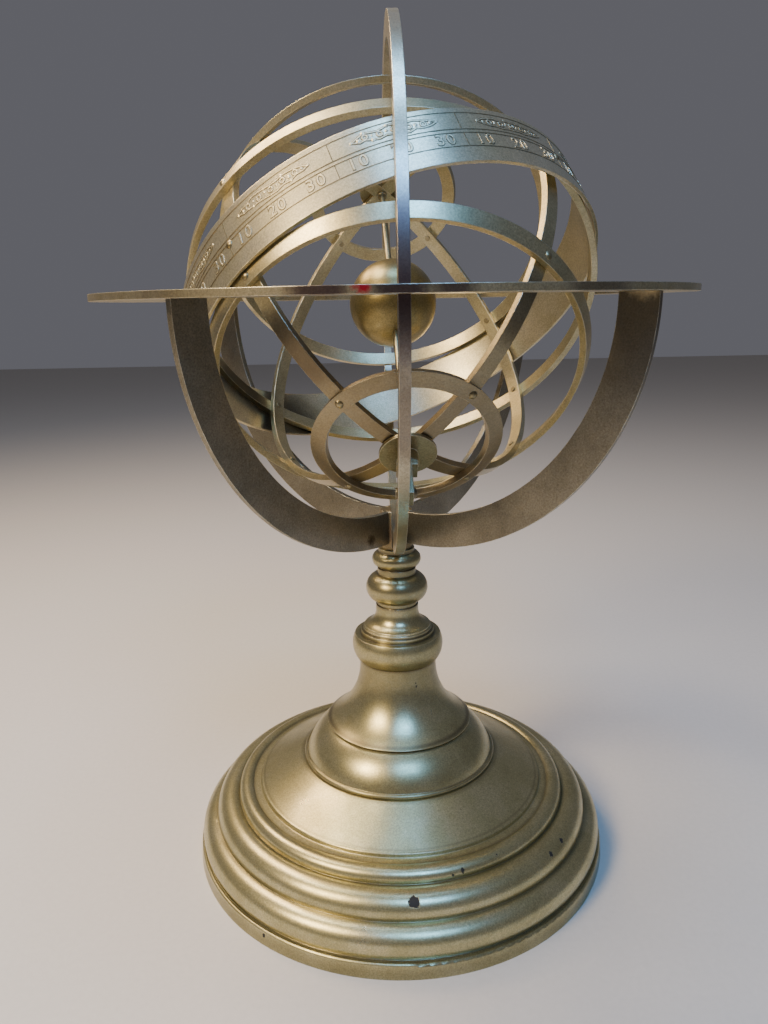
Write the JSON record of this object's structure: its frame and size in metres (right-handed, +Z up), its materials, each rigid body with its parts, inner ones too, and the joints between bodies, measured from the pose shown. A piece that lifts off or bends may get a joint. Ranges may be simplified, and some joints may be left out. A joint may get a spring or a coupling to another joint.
{
  "type": "armillary sphere",
  "caption": "Table armillary sphere in champagne-gold metal: a spinning sphere of riveted rings with a zodiac band and a globe, in a sliding meridian ring on a turned foot",
  "frame": {"origin": "centre of the foot's resting circle, on the table", "axes": "+Z up the column; -Y toward the low (south) end of the polar axle, the pictured front; +X to the right seen from the front"},
  "size_m": [0.292, 0.292, 0.4306],
  "materials": {
    "foot_metal": "satin champagne-gold paint on turned metal, chipped in places",
    "column_metal": "satin champagne-gold paint on turned metal",
    "post_metal": "satin champagne-gold paint, rubbed at the slot",
    "arm_metal": "antique-gold paint on flat plate",
    "horizon_metal": "antique-gold paint on flat plate, tarnished at the front edge",
    "meridian_metal": "pale champagne-gold paint on flat plate",
    "bracket_metal": "dull brass-coloured metal",
    "axle_metal": "brass-coloured rod",
    "globe_metal": "satin antique-gold sphere",
    "hub_metal": "satin champagne-gold disc",
    "strip_metal": "satin champagne-gold paint on rolled strip",
    "band_metal": "bright champagne-gold rolled band",
    "rivet_metal": "dull brass-coloured rivets",
    "steel": "zinc-plated steel"
  },
  "bodies": {
    "stand": {"base_foot": "foot_metal", "bell": "column_metal", "collar": "column_metal", "ball": "column_metal", "cushion": "column_metal", "slotted_post": "post_metal", "tie_rod": "steel", "tie_washer": "steel", "tie_nut": "steel", "front_left_arm": "arm_metal", "front_right_arm": "arm_metal", "back_left_arm": "arm_metal", "back_right_arm": "arm_metal", "horizon_ring": "horizon_metal"},
    "meridian": {"meridian_ring": "meridian_metal", "south_bracket": "bracket_metal", "north_bracket": "bracket_metal", "bracket_pins": "bracket_metal", "polar_axle": "axle_metal", "globe": "globe_metal"},
    "ring_sphere": {"south_hub": "hub_metal", "north_hub": "hub_metal", "solstice_colure": "strip_metal", "equinox_colure": "strip_metal", "equator_ring": "strip_metal", "north_tropic_ring": "strip_metal", "south_tropic_ring": "strip_metal", "north_polar_ring": "strip_metal", "south_polar_ring": "strip_metal", "zodiac_band": "band_metal", "ring_rivets": "rivet_metal", "zodiac_rivets": "rivet_metal"}
  },
  "joints": [
    {"name": "meridian_slide", "type": "hinge", "parent": "stand", "child": "meridian", "pos_m": [0, 0, 0.3034], "axis": [1, 0, 0], "range_deg": [-32, 38]},
    {"name": "sphere_spin", "type": "hinge", "parent": "meridian", "child": "ring_sphere", "pos_m": [0, 0, 0.3034], "axis": [-0.031, 0.7721, 0.6347], "continuous": true}
  ]
}
